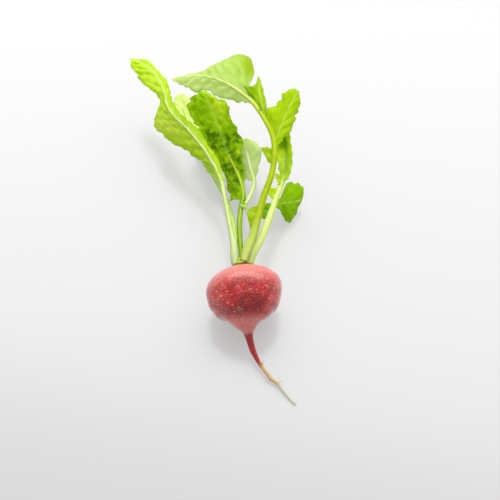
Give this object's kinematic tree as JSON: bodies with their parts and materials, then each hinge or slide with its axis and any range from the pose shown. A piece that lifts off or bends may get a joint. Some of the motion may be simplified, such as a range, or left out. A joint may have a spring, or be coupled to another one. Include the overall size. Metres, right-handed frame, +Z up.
{
  "type": "radish with leaves",
  "caption": "Red radish lying on its side, with a round root, a long thin tap root and a tuft of fresh green lobed leaves on slender pale stalks.",
  "frame": {"origin": "the middle of the small flat spot on which the root rests", "axes": "+Z up from the surface, +Y from the root towards the leaves, +X to the right seen from the tap root's end"},
  "size_m": [0.0943, 0.1895, 0.057],
  "materials": {
    "radish_skin": "smooth shiny red skin, turning tan and then pale green along the tap root",
    "leaf_left_green": "soft yellow green leaf with a pale stalk",
    "leaf_arching_green": "pale green underside of a leaf with a pale stalk",
    "leaf_right_green": "bright green leaf with a pale stalk",
    "leaf_inner_green": "deep green crumpled leaf with a pale leaflet",
    "leaf_low_green": "pale leaf with light shining through it"
  },
  "bodies": {
    "root": {"radish_root": "radish_skin", "leaf_left": "leaf_left_green", "leaf_arching": "leaf_arching_green", "leaf_right": "leaf_right_green", "leaf_inner": "leaf_inner_green", "leaf_low": "leaf_low_green"}
  },
  "joints": []
}
